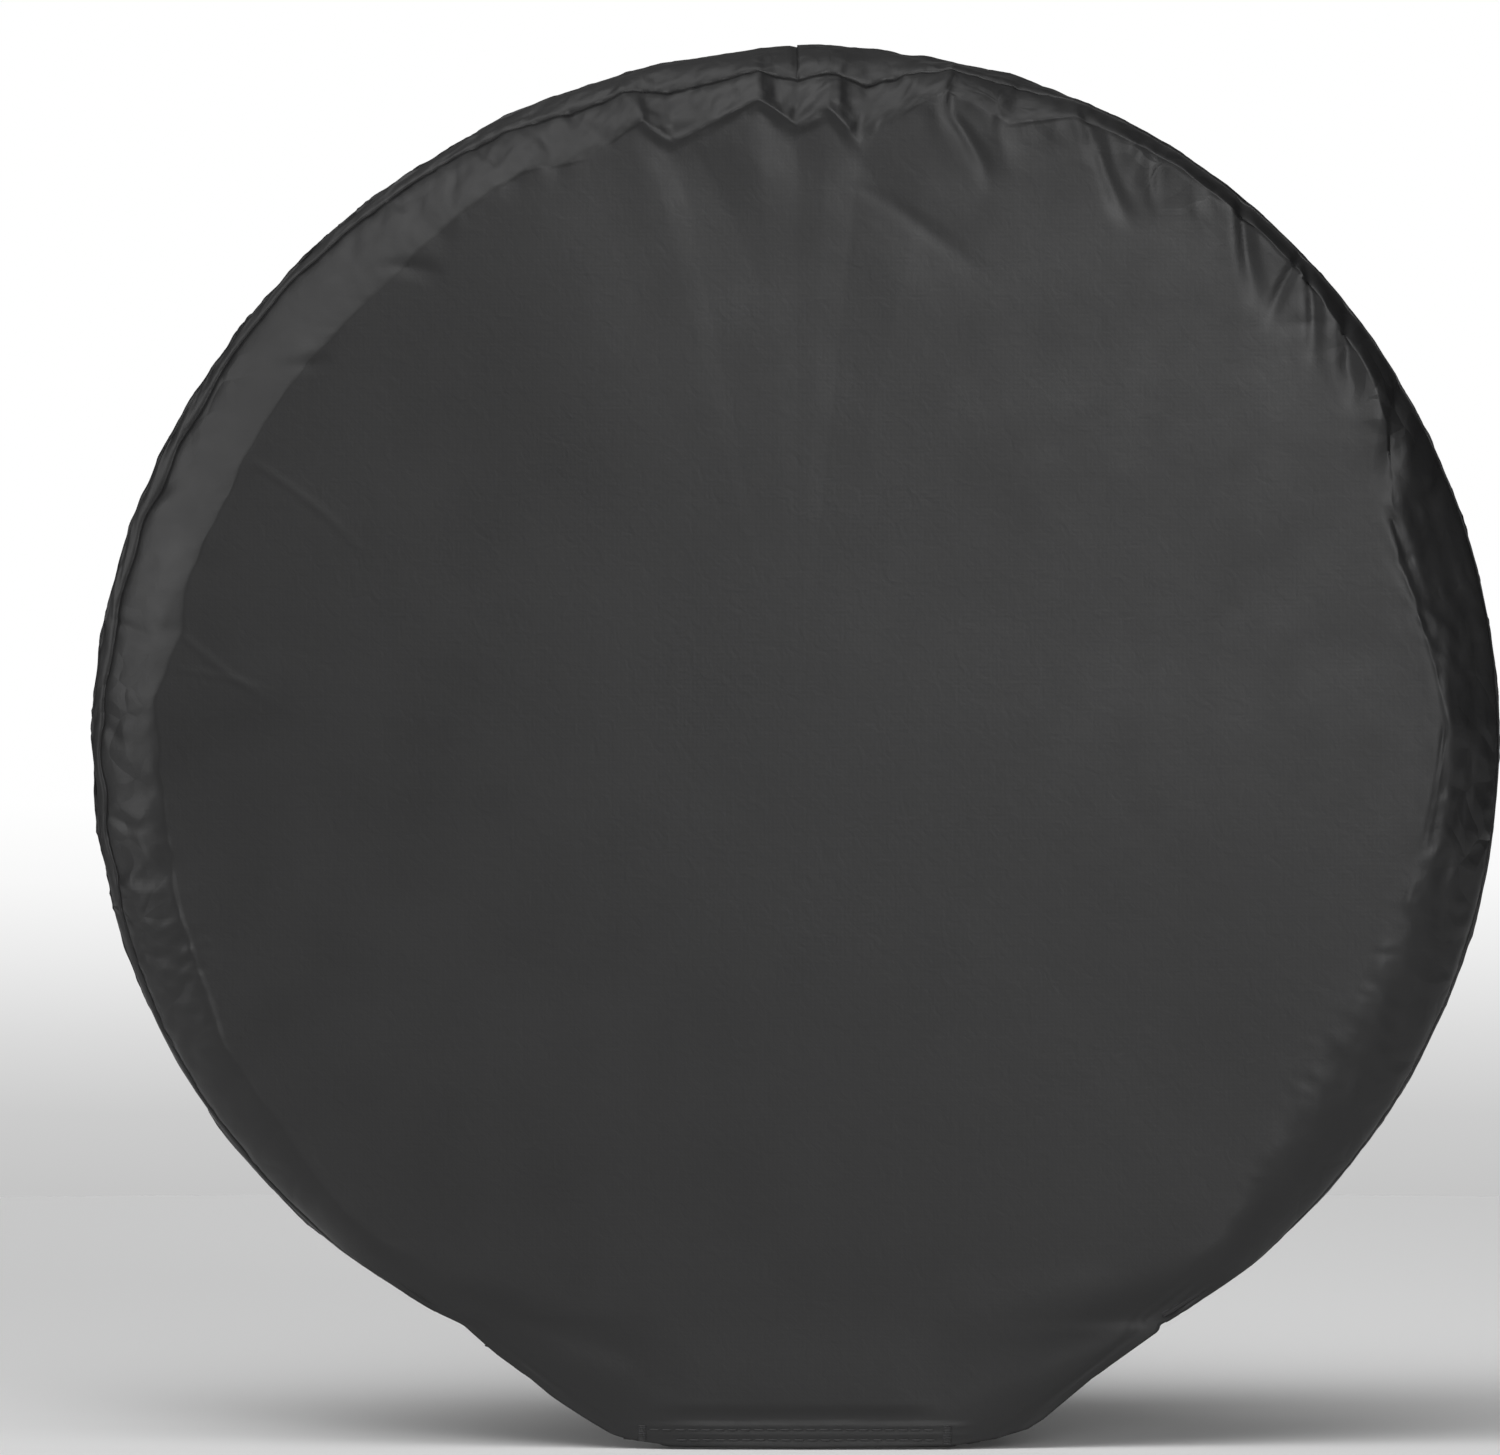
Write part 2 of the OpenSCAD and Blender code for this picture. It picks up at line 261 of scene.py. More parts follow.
# Folds of the front: the angle in degrees and the radius in mm of the place where each starts and
# of the place where it ends, then its half width and its height in mm, which is below 0 for a valley
FOLDS = (
    (105.4, 339, 104, 314, 3.5, 1.6), (104, 316, 101.5, 302, 3, 1.9), (101.5, 303, 97.5, 309, 3, 1.6),
    (97.5, 309, 93.6, 318, 3, 1.7), (93.4, 318, 90.2, 304, 3.5, 2), (90, 304, 87.3, 313, 3, 1.9),
    (87.2, 314, 84.2, 297, 3.5, 1.7), (83.3, 345, 78.4, 322, 3.5, 1.8), (102.6, 306, 99.5, 250, 13, -0.5),
    (99.8, 296, 94, 208, 17, -0.6), (105.4, 308, 103.6, 245, 12, 0.3), (97, 306, 92.6, 262, 13, 0.2),
    (91.4, 312, 89.4, 262, 11, -0.5), (94.6, 312, 93.2, 272, 9, 0.2), (86.6, 304, 81, 262, 12, 0.2),
    (84, 290, 66.5, 243, 11, -0.5), (83.5, 276, 64.2, 242, 4, -0.4), (88, 270, 70, 226, 16, 0.2),
    (76.8, 337, 75.7, 316, 3, -1.8), (75.7, 318, 71, 292, 3.4, -1.8), (78.6, 332, 74.2, 296, 5, 0.6),
    (72.6, 330, 69, 298, 6, 1), (65.5, 342, 62.9, 326, 3.5, -2.2), (62.9, 330, 57, 304, 3.6, -1.8),
    (61.5, 342, 56, 310, 5, 0.4), (60, 346, 58.5, 318, 4, -1.3), (50.5, 348, 43, 314, 4, -2.6),
    (51.8, 342, 46.5, 316, 5, 0.4), (44, 349, 41.5, 312, 2.8, -2.2), (43.6, 349, 35.6, 314, 3.2, -2.2),
    (38.2, 349, 30.5, 322, 4.5, -2.6), (40.5, 346, 33.5, 316, 5, 0.4), (30.5, 348, 21.3, 316, 5, -3),
    (28, 348, 20.5, 324, 5, 0.7), (23, 350, 20.8, 333, 4, -1.8), (21, 315, 1.3, 322, 3, -1.7),
    (21.5, 327, 8, 323, 2.6, -1.5), (12, 334, 1, 326, 2.6, 0.8), (17, 339, 9, 330, 3, -1.4),
    (9, 342, -1.5, 333, 3.2, -1.6), (1.2, 322, -12.4, 316, 3, -2.4), (-1, 336, -9, 327, 3, -1.8),
    (-5, 342, -15, 327, 3.5, 0.8), (-10, 328, -17, 333, 4, -2), (-14, 316, -21, 326, 5, 0.5),
    (-33, 309, -36.5, 318, 2.5, 0.8), (-35, 306, -38, 312, 2, 0.7), (-30, 318, -34.5, 326, 3, -0.8),
    (110.5, 340, 107, 308, 4, -2), (113, 340, 113, 300, 4, -1.3), (115.5, 338, 114, 306, 5, 1),
    (119, 340, 116.5, 306, 5, -1.5), (127, 338, 125, 300, 5, -1.2), (131, 312, 127.5, 292, 4, -1.4),
    (144, 316, 141, 300, 3.5, -1), (160.5, 349, 156.5, 334, 3, -1.4), (170, 347, 171, 322, 2.8, -1.6),
    (178.5, 346, 180.5, 333, 3, -1.3), (186, 346, 187.8, 329, 3, -1.7), (188, 331, 192, 322, 4, 1.2),
    (192, 345, 193.5, 327, 3, 1.3), (153, 303, 157.4, 227, 2.2, 0.2), (170, 312, 177.3, 247, 2, 0.22),
    (173.5, 310, 175.3, 255, 1.8, 0.2),
)


def minor_folds(seed=7, count=90):
    """Short folds scattered along the seam, closer together over the top."""
    rng = np.random.RandomState(seed)
    folds = []
    for _ in range(count):
        place = rng.uniform(-50, 230)
        busy = bell(degrees_from(math.radians(place), 88), 42)
        if rng.uniform() > busy + 0.25:
            continue
        start, end = 340 - rng.uniform(0, 8), 334 - rng.uniform(6, 24)
        height = rng.uniform(0.4, 1.5) * (0.35 + 0.65 * busy) * rng.choice((-1, 1))
        turn = rng.uniform(-3.5, 3.5)
        folds.append((place, start, place + turn, end, rng.uniform(2.2, 4.5), height))
    return folds


ALL_FOLDS = list(FOLDS) + minor_folds()


def beside_line(x, z, start, end):
    """Share of the way along a line for each point x, z, its distance to the side, and the line's length."""
    dx, dz = end[0] - start[0], end[1] - start[1]
    length = math.hypot(dx, dz)
    along = ((x - start[0]) * dx + (z - start[1]) * dz) / length ** 2
    across = ((x - start[0]) * dz - (z - start[1]) * dx) / length
    return along, across, length


FOLD_HEIGHT = 0.8
TENT_SHARE = 0.75                       # how much of a fold is a sharp tent; the rest is a round bell
FOLD_END = 6 * MM


def front_folds(x, z):
    """Height of the folds of the front at x, z."""
    h = np.zeros(np.shape(x))
    for a0, r0, a1, r1, half_w, height in ALL_FOLDS:
        start = r0 * MM * math.cos(math.radians(a0)), r0 * MM * math.sin(math.radians(a0))
        end = r1 * MM * math.cos(math.radians(a1)), r1 * MM * math.sin(math.radians(a1))
        along, across, length = beside_line(x, z, start, end)
        bend = 0.04 * length * (1 - (2 * along - 1) ** 2) * (1 if a0 % 2 < 1 else -1)
        width = half_w * MM * (0.75 + 0.6 * np.clip(along, 0, 1))
        tent = np.maximum(0, 1 - np.abs(across - bend) / (1.6 * width)) ** 1.25
        share = min(0.35, FOLD_END / length)
        fade = smooth(along, -share, share) * (1 - smooth(along, 0.45, 1 + share))
        profile = TENT_SHARE * tent + (1 - TENT_SHARE) * bell(across - bend, width)
        h = h + FOLD_HEIGHT * height * MM * profile * fade
    return h


def seam_pucker(angle, from_seam):
    """The seam is drawn in as a groove, and its puckers run a little way out on both sides."""
    arc = angle * BAND_R / MM
    away = from_seam / MM
    ripple = 0.9 * crumple((arc + 0.3 * away) / 21, away / 44, 61, 2) - 0.3
    ripple = ripple + 0.5 * noise(arc / 5.2, 0 * arc, 62)
    busy = 0.3 + 0.7 * bell(degrees_from(angle, 92), 38)
    reach = np.exp(-np.abs(from_seam) / (13 * MM)) * np.where(from_seam > 0, 0.6, 1.0)
    groove = -1.0 * np.exp(-np.abs(from_seam) / (2.0 * MM))
    return (1.5 * ripple * reach * busy + groove) * MM


def shoulder_crumple(angle, way):
    """Facets and creases of the loose cloth, with way from the front seam and below 0 in front of it."""
    arc = angle * BAND_R / MM
    w = way / MM
    wide = crumple(arc / 85, w / 58 + 3.3, 11, 2)
    slant = crumple((arc + 0.9 * w) / 47, (w - 0.5 * arc) / 95, 23, 2)
    tight = crumple((arc - 0.4 * w) / 22, w / 34, 29, 2)
    streak = crumple(arc / 46 + 0.5 * noise(w / 14, arc / 60, 37), w / 12, 31, 2)
    fine = crumple((arc + 0.5 * w) / 15, w / 19, 47, 3)
    right = bell(degrees_from(angle, 5), 24)
    lower = bell(degrees_from(angle, 199), 9)
    low_right = bell(degrees_from(angle, -24), 14)
    top = bell(degrees_from(angle, 95), 34)
    ahead = ((0.35 + 0.6 * right + 0.5 * low_right) * wide + (0.2 + 0.8 * lower + 0.4 * low_right) * tight
             + (0.8 * lower + 0.75 * top + 0.1 * low_right) * fine + 0.9 * right * streak)
    wall = smooth(w, 4, 40)
    behind = (1.7 * wide + 1.2 * slant + 0.4 * tight - 2.4) * wall
    behind = behind + (0.25 * slant + 0.7 * top * fine) * (1 - wall)
    return np.where(w < 0, ahead * (0.4 + 0.6 * smooth(-w, 0, 8)), behind) * MM


def face_waves(angle, r):
    """Broad, shallow waves of the stretched front."""
    x, z = r * np.cos(angle), r * np.sin(angle)
    broad = noise(x / 0.23 + 3, z / 0.19, 71) * 1.5
    drape = noise(x / 0.09, z / 0.30 + 2, 73) * 0.5 * smooth(z, 0.0, 0.25)
    return (broad + drape) * smooth(r, 0.03, 0.16) * MM


# ---- Grids of points ----

def grid_normals(points, closed):
    """Unit normals of a grid of points, from its two directions."""
    if closed:
        du = np.roll(points, -1, 0) - np.roll(points, 1, 0)
    else:
        du = np.gradient(points, axis=0)
    return unit(np.cross(du, np.gradient(points, axis=1)))


def grid_uv(across, along):
    return np.stack(np.meshgrid(across, along, indexing="ij"), -1)


def drum_point(angle, r, y):
    return np.stack([r * np.cos(angle), y * np.ones_like(angle), r * np.sin(angle)], -1)


def push(points, height, outward, closed=False):
    """Moves a grid's points along its normals, on the side of outward."""
    return points + facing(grid_normals(points, closed), outward) * height[..., None]


def mesh_object(name, verts, faces, material, uv=None):
    """A new piece from points and faces, with one place on the cloth for each point as its UV."""
    mesh = bpy.data.meshes.new(name)
    mesh.from_pydata(verts.tolist(), [], faces)
    if uv is not None:
        layer = mesh.uv_layers.new(name="cloth")
        loops = np.empty(len(mesh.loops), int)
        mesh.loops.foreach_get("vertex_index", loops)
        layer.data.foreach_set("uv", uv[loops].astype(np.float32).ravel())
    mesh.polygons.foreach_set("use_smooth", np.ones(len(mesh.polygons), bool))
    mesh.materials.append(material)
    mesh.update()
    obj = bpy.data.objects.new(name, mesh)
    bpy.context.scene.collection.objects.link(obj)
    return obj


def cloth_piece(name, points, uv, material, outward, closed=False, pole=None, thickness=CLOTH_T):
    """A closed thin sheet: the grid's own face, a second one on the inside of it and a rim between.

    closed joins the grid's first and last columns; pole is the point that closes its first row.
    """
    nu, nv = points.shape[:2]
    n = grid_normals(points, closed)
    side = np.sign(np.median((n * outward).sum(2)))
    inner = points - n * side * thickness
    verts = np.concatenate([points.reshape(-1, 3), inner.reshape(-1, 3)])
    uvs = np.concatenate([uv.reshape(-1, 2)] * 2)
    index = np.arange(nu * nv).reshape(nu, nv)
    a = index if closed else index[:-1]
    b = np.roll(index, -1, 0) if closed else index[1:]
    quads = np.stack([a[:, :-1], b[:, :-1], b[:, 1:], a[:, 1:]], -1).reshape(-1, 4)
    back = nu * nv
    faces = [quads, quads[:, ::-1] + back]
    rims = [(a[:, -1], b[:, -1])]
    if pole is None:
        rims.append((b[:, 0], a[:, 0]))
    if not closed:
        rims += [(index[0, :-1], index[0, 1:]), (index[-1, 1:], index[-1, :-1])]
    faces += [np.stack([p, q, q + back, p + back], -1) for p, q in rims]
    if side < 0:
        faces = [f[:, ::-1] for f in faces]
    faces = np.concatenate(faces).tolist()
    if pole is not None:
        middle = len(verts)
        verts = np.concatenate([verts, [pole, pole - outward[0, 0] * thickness]])
        uvs = np.concatenate([uvs, uv[:, 0].mean(0, keepdims=True).repeat(2, 0)])
        fan = [[p, middle, q] for p, q in zip(a[:, 0].tolist(), b[:, 0].tolist())]
        fan += [[q + back, middle + 1, p + back] for p, q in zip(a[:, 0].tolist(), b[:, 0].tolist())]
        faces += [f[::-1] for f in fan] if side < 0 else fan
    return mesh_object(name, verts, faces, material, uvs)


TUBE_UP = (0.31, 0.83, 0.47)            # no tube runs this way
TUBE_TIP = 0.55                         # radius of a tube's first and last ring, as a share


def tube_piece(name, paths, radius, material, sides=6):
    """One piece of round tubes, each along its own list of points, with closed ends."""
    verts, faces = [], []
    for path in paths:
        path = np.asarray(path)
        t = unit(np.gradient(path, axis=0))
        side = unit(np.cross(t, TUBE_UP))
        other = np.cross(t, side)
        turn = np.arange(sides) * math.tau / sides
        ends = np.ones(len(path))
        ends[0] = ends[-1] = TUBE_TIP
        ring = side[:, None] * np.cos(turn)[None, :, None] + other[:, None] * np.sin(turn)[None, :, None]
        ring = path[:, None] + ring * (radius * ends)[:, None, None]
        base = sum(len(v) for v in verts)
        verts.append(ring.reshape(-1, 3))
        for i in range(len(path) - 1):
            for k in range(sides):
                p, q = base + i * sides + k, base + i * sides + (k + 1) % sides
                faces.append([p, p + sides, q + sides, q])
        faces.append([base + k for k in range(sides)])
        last = base + (len(path) - 1) * sides
        faces.append([last + k for k in reversed(range(sides))])
    return mesh_object(name, np.concatenate(verts), faces, material)


# ---- Materials ----

def principled(name, base, roughness, specular=0.5):
    """A new material's nodes and its shader, with the constants set on the shader's own sockets."""
    material = bpy.data.materials.new(name)
    material.use_nodes = True
    shader = material.node_tree.nodes["Principled BSDF"]
    shader.inputs["Base Color"].default_value = (*base, 1)
    shader.inputs["Roughness"].default_value = roughness
    shader.inputs["Specular IOR Level"].default_value = specular
    return material, material.node_tree, shader


def add_node(tree, kind, inputs=(), **settings):
    """A new shader node, with its inputs set to values or linked to other nodes' outputs."""
    node = tree.nodes.new("ShaderNode" + kind)
    for key, value in settings.items():
        setattr(node, key, value)
    for socket, value in dict(inputs).items():
        if isinstance(value, bpy.types.NodeSocket):
            tree.links.new(value, node.inputs[socket])
        else:
            node.inputs[socket].default_value = value
    return node


def math_node(tree, operation, a, b):
    return add_node(tree, "Math", {0: a, 1: b}, operation=operation).outputs[0]


def range_node(tree, value, low, high, to_low=0.0, to_high=1.0):
    limits = {"From Min": low, "From Max": high, "To Min": to_low, "To Max": to_high}
    return add_node(tree, "MapRange", {"Value": value, **limits}).outputs["Result"]


def noise_node(tree, place, scale, detail, **more):
    return add_node(tree, "TexNoise", {"Vector": place, "Scale": scale, "Detail": detail, **more})


def bump_node(tree, height, strength, distance, *below):
    """A bump's normal, on top of the bump below it if one is given."""
    inputs = {"Height": height, "Strength": strength, "Distance": distance}
    if below:
        inputs["Normal"] = below[0]
    return add_node(tree, "Bump", inputs).outputs["Normal"]


def ramp_node(tree, value, stops, interpolation="LINEAR"):
    """A colour ramp over value, with stops as (place, colour)."""
    ramp = add_node(tree, "ValToRGB", {"Fac": value})
    ramp.color_ramp.interpolation = interpolation
    while len(ramp.color_ramp.elements) < len(stops):
        ramp.color_ramp.elements.new(0.5)
    for element, (place, colour) in zip(ramp.color_ramp.elements, stops):
        element.position, element.color = place, (*colour, 1)
    return ramp.outputs["Color"]


def tinted(base, share):
    return tuple(c * share for c in base)


WEAVE_SCALE = 150.0                     # a rib every 2.1 mm


def cloth_material(name, base, roughness):
    """Coated cloth: an even dark colour, a satin coat, a fine weave and small crinkles."""
    material, tree, shader = principled(name, base, roughness, specular=0.36)
    place = add_node(tree, "TexCoord").outputs["Object"]
    thread = add_node(tree, "UVMap", uv_map="cloth").outputs["UV"]

    tone = noise_node(tree, place, 9.0, 6.0, Roughness=0.55).outputs["Fac"]
    colour = ramp_node(tree, tone, ((0.3, tinted(base, 0.88)), (0.7, tinted(base, 1.12))))
    tree.links.new(colour, shader.inputs["Base Color"])
    dull = noise_node(tree, place, 34.0, 5.0).outputs["Fac"]
    gloss = range_node(tree, dull, 0.3, 0.7, roughness - 0.05, roughness + 0.06)
    tree.links.new(gloss, shader.inputs["Roughness"])

    warp, weft = (add_node(tree, "TexWave", {"Vector": thread, "Scale": WEAVE_SCALE}, bands_direction=axis,
                           wave_profile="SIN").outputs["Fac"] for axis in "XY")
    weave = bump_node(tree, math_node(tree, "MULTIPLY", warp, weft), 0.05, 0.0002)
    small = noise_node(tree, place, 120.0, 4.0, Roughness=0.6, Distortion=0.6).outputs["Fac"]
    crinkles = bump_node(tree, small, 0.2, 0.0007, weave)
    creases = bump_node(tree, crease_height(tree, place), 0.55, 0.004, crinkles)
    tree.links.new(creases, shader.inputs["Normal"])
    return material


def crease_height(tree, place):
    """Small sharp creases of the loose cloth, which fade out over the stretched front and the bib."""
    bent = noise_node(tree, place, 24.0, 2.0).outputs["Color"]
    shift = add_node(tree, "VectorMath", {0: bent, "Scale": 0.03}, operation="SCALE").outputs["Vector"]
    warped = add_node(tree, "VectorMath", {0: place, 1: shift}, operation="ADD").outputs["Vector"]
    facets = add_node(tree, "TexVoronoi", {"Vector": warped, "Scale": 42.0}, feature="DISTANCE_TO_EDGE")
    axes = add_node(tree, "SeparateXYZ", {"Vector": place}).outputs
    across = add_node(tree, "CombineXYZ", {"X": axes["X"], "Z": axes["Z"]}).outputs["Vector"]
    from_axis = add_node(tree, "VectorMath", {0: across}, operation="LENGTH").outputs["Value"]
    off_face = range_node(tree, from_axis, 0.316, 0.338)
    off_bib = range_node(tree, axes["Z"], -0.28, -0.23)
    loose = math_node(tree, "MULTIPLY", off_face, off_bib)
    patches = range_node(tree, noise_node(tree, place, 11.0, 1.0).outputs["Fac"], 0.42, 0.62, 0.15)
    right = range_node(tree, axes["X"], 0.24, 0.31, 0.0, 0.5)
    share = math_node(tree, "MULTIPLY", loose, math_node(tree, "ADD", patches, right))
    return math_node(tree, "MULTIPLY", facets.outputs["Distance"], share)


def fibre_material(name, base, roughness, scale, depth):
    """Thread, tape or braid: twisted fibres with slightly uneven dye."""
    material, tree, shader = principled(name, base, roughness, specular=0.4)
    place = add_node(tree, "TexCoord").outputs["Object"]
    tone = noise_node(tree, place, scale / 3, 3.0).outputs["Fac"]
    colour = ramp_node(tree, tone, ((0.0, tinted(base, 0.75)), (1.0, tinted(base, 1.25))))
    tree.links.new(colour, shader.inputs["Base Color"])
    twist = add_node(tree, "TexWave", {"Vector": place, "Scale": scale, "Distortion": 2.0, "Detail": 1.0},
                     bands_direction="DIAGONAL").outputs["Fac"]
    tree.links.new(bump_node(tree, twist, depth, 0.0003), shader.inputs["Normal"])
    return material


CLOTH = cloth_material("coated_cloth", (0.0135, 0.0135, 0.0138), 0.44)
TAPE = fibre_material("binding_tape", (0.014, 0.014, 0.0145), 0.75, 400.0, 0.3)
THREAD = fibre_material("sewing_thread", (0.034, 0.034, 0.035), 0.6, 900.0, 0.4)
ELASTIC = fibre_material("elastic_braid", (0.012, 0.012, 0.0125), 0.7, 500.0, 0.4)


# ---- Front cloth and bib ----

POLE_R = 6 * MM
FACE_ROWS = 30                          # rows of points from the middle to the busy outer part
EDGE_ROWS = 46
SHOULDER_ROWS = 18
LIP_ROWS = 3
LIP_STEP = 1.4 * MM
BUSY_WAY = 240 / 317                    # where the busy part starts, as a share of the face's radius
FLAT_SHARE = 0.93                       # share of the way across the foot that the face takes up
FOOT_SOFT = 14.0                        # degrees over which the shoulder flattens towards the foot


def front_angles(count=1200):
    """Angles round the front, with one exactly at each corner of the bib and each end of the band."""
    angles = -math.pi / 2 + np.arange(count) * math.tau / count
    corners = [math.atan2(z, x) for x, z in BIB_EDGE[:-1]] + [BAND_END]
    corners += [math.pi - c for c in corners] + [math.tau / 2 - BAND_END]
    for c in corners:
        gap = (angles - c + math.pi) % math.tau - math.pi
        k = int(np.argmin(np.abs(gap)))
        angles[k] -= gap[k]
    return angles


BIB_HEM_H = 13.3 * MM
STITCH_ROWS = (9.4 * MM, 4.4 * MM)      # the hem's two rows of stitches, above its lower edge

# Pulls from the bib's corners towards the ends of its hem: x, z at both ends, height in mm and half width
BIB_PULLS = (
    (-0.166, -0.277, -0.066, -0.317, -1.2, 0.010), (-0.178, -0.290, -0.105, -0.323, 0.5, 0.008),
    (0.178, -0.279, 0.082, -0.316, -1.2, 0.010), (0.178, -0.290, 0.108, -0.322, 0.5, 0.008),
    (0.150, -0.268, 0.060, -0.292, 0.4, 0.012))
EDGE_DROP = 3.4 * MM                    # the bib's edges curl back by this much, over EDGE_CURL
EDGE_CURL = 34 * MM
EDGE_GROOVE = 0.6 * MM


def bib_relief(x, z):
    """How far the flat foot of the front stands out, towards the viewer."""
    h = np.zeros(np.shape(x))
    below = smooth(-z, -FOLD_Z - 0.035, -FOLD_Z + 0.004)
    for start, end in zip(BIB_EDGE[:2], BIB_EDGE[1:3]):
        inside = np.abs(beside_line(np.abs(x), z, start, end)[1])
        h = h - EDGE_DROP * np.clip(1 - inside / EDGE_CURL, 0, 1) ** 2 * below
        h = h - EDGE_GROOVE * bell(inside - 5 * MM, 0.9 * MM) * below
    for x0, z0, x1, z1, height, wide in BIB_PULLS:
        along, across, _ = beside_line(x, z, (x0, z0), (x1, z1))
        fade = smooth(along, -0.12, 0.12) * (1 - smooth(along, 0.5, 1.15))
        h = h + height * MM * bell(across, wide * (0.6 + 0.7 * np.clip(along, 0, 1))) * fade
    # the turned-up hem, and the cloth that bulges a little over it
    above = z - BIB_LOW - BIB_HEM_H
    across_hem = smooth(0.092 - np.abs(x + 0.007), 0, 0.014)
    bulge = smooth(above, 2 * MM, 9 * MM) * (1 - smooth(above, 9 * MM, 60 * MM))
    h = h + 1.3 * MM * bulge * smooth(0.080 - np.abs(x + 0.010), 0, 0.03)
    wobble = 0.4 * MM * noise(x / 0.03, x * 0, 83)
    h = h + 0.7 * MM * (1 - smooth(above, -2.0 * MM + wobble, wobble)) * across_hem
    for row in STITCH_ROWS:
        h = h - 0.45 * MM * bell(z - BIB_LOW - row, 1.3 * MM) * across_hem
    return h


def front_surface(angle, way):
    """Points of the front cloth, with way from 0 at the middle over 1 at the face's edge to 2 at the seam."""
    on_face, on_shoulder = np.clip(way, 0, 1), np.clip(way - 1, 0, 1)
    edge = face_r(angle)
    r = POLE_R + (edge - POLE_R) * on_face
    y = FACE_Y - FACE_DOME * (1 - (r / edge) ** 2)
    rs, ys = shoulder(angle, on_shoulder * seam_turn(angle))
    r, y = np.where(way > 1, rs, r), np.where(way > 1, ys, y)
    reach = bib_reach(angle)
    share = np.where(way > 1, FLAT_SHARE + (1 - FLAT_SHARE) * on_shoulder, FLAT_SHARE * on_face)
    flat_r = POLE_R + (reach - POLE_R) * share
    flat_y = FACE_Y - FACE_DOME * (1 - np.clip(flat_r / 0.33, 0, 1) ** 2)
    w = in_band(angle, FOOT_SOFT)
    return flat_r + (r - flat_r) * w, flat_y + (y - flat_y) * w, w


def front_cloth():
    angles = front_angles()
    inner = np.linspace(0, 1, FACE_ROWS) ** 0.9 * BUSY_WAY
    busy = BUSY_WAY + (1 - BUSY_WAY) * np.linspace(0, 1, EDGE_ROWS + 1)[1:]
    ways = np.concatenate([inner, busy, 1 + np.linspace(0, 1, SHOULDER_ROWS + 1)[1:]])
    angle, way = np.meshgrid(angles, ways, indexing="ij")
    r, y, w = front_surface(angle, way)
    base = drum_point(angle, r, y)
    rs, ys = shoulder(angle, seam_turn(angle))
    from_seam = np.hypot(np.maximum(rs - r, 0), np.maximum(ys - y, 0))
    loose = smooth(way, 0.93, 1.15)
    height = front_folds(base[..., 0], base[..., 2]) + shoulder_crumple(angle, -from_seam) * loose
    height = height + seam_pucker(angle, from_seam) * loose
    flat_height = bib_relief(base[..., 0], base[..., 2])
    height = height * w + flat_height * (1 - w * smooth(way, 0.75, 1)) + face_waves(angle, r)
    out = drum_point(angle, smooth(way, 0.9, 2.0), -1.0)
    points = push(base, height, out, closed=True)
    points[..., 0] += bib_lean(points[..., 0], points[..., 2]) * in_foot(angle, 0.8)
    seam = points[:, -1]
    n = facing(grid_normals(points, True)[:, -1], out[:, -1])
    from_axis = drum_point(angles, 1.0, 0.0)
    flare = np.minimum((n * from_axis).sum(1, keepdims=True), 0)
    lips = [seam - (n - flare * from_axis) * LIP_STEP * k for k in range(1, LIP_ROWS + 1)]
    points = np.concatenate([points] + [lip[:, None] for lip in lips], 1)
    arc = np.stack([points[..., 0], points[..., 2]], -1)
    pole = np.array([0, points[:, 0, 1].mean(), 0])
    outward = np.concatenate([out, np.repeat(out[:, -1:], LIP_ROWS, 1)], 1)
    obj = cloth_piece("front_cloth", points, arc, CLOTH, outward, closed=True, pole=pole)
    return obj, angles, seam, n


front, front_angle, seam_line, seam_out = front_cloth()


def seam_inward(picked, angles):
    """The way the seam allowance points, which turns towards the wheel's axis beside the foot."""
    to_axis = drum_point(angles, -1.0, 0.0) * 1.5 * (1 - in_band(angles, 16.0))[:, None]
    return unit(to_axis - seam_out[picked])


def in_band_columns(low, high):
    """The front's own angles from low to high, so that pieces sewn to it share its points."""
    angle = (front_angle + math.pi / 2) % math.tau - math.pi / 2
    picked = np.where((angle > low - 1e-6) & (angle < high + 1e-6))[0]
    return picked[np.argsort(angle[picked])], np.sort(angle[picked])


# ---- Side band ----

WALL_WAY = 0.30                         # share of the band's rows that are on the shoulder
BAND_WAY = 135 * MM                     # from the front seam to the turn line, along the cloth
BAND_ROWS = 62
LIP_GAP = 0.12 * MM
TOP = math.pi / 2
JOIN_LAP = 0.03                         # angle by which the halves lap over each other at the top
JOIN_STEP = 1.2 * MM


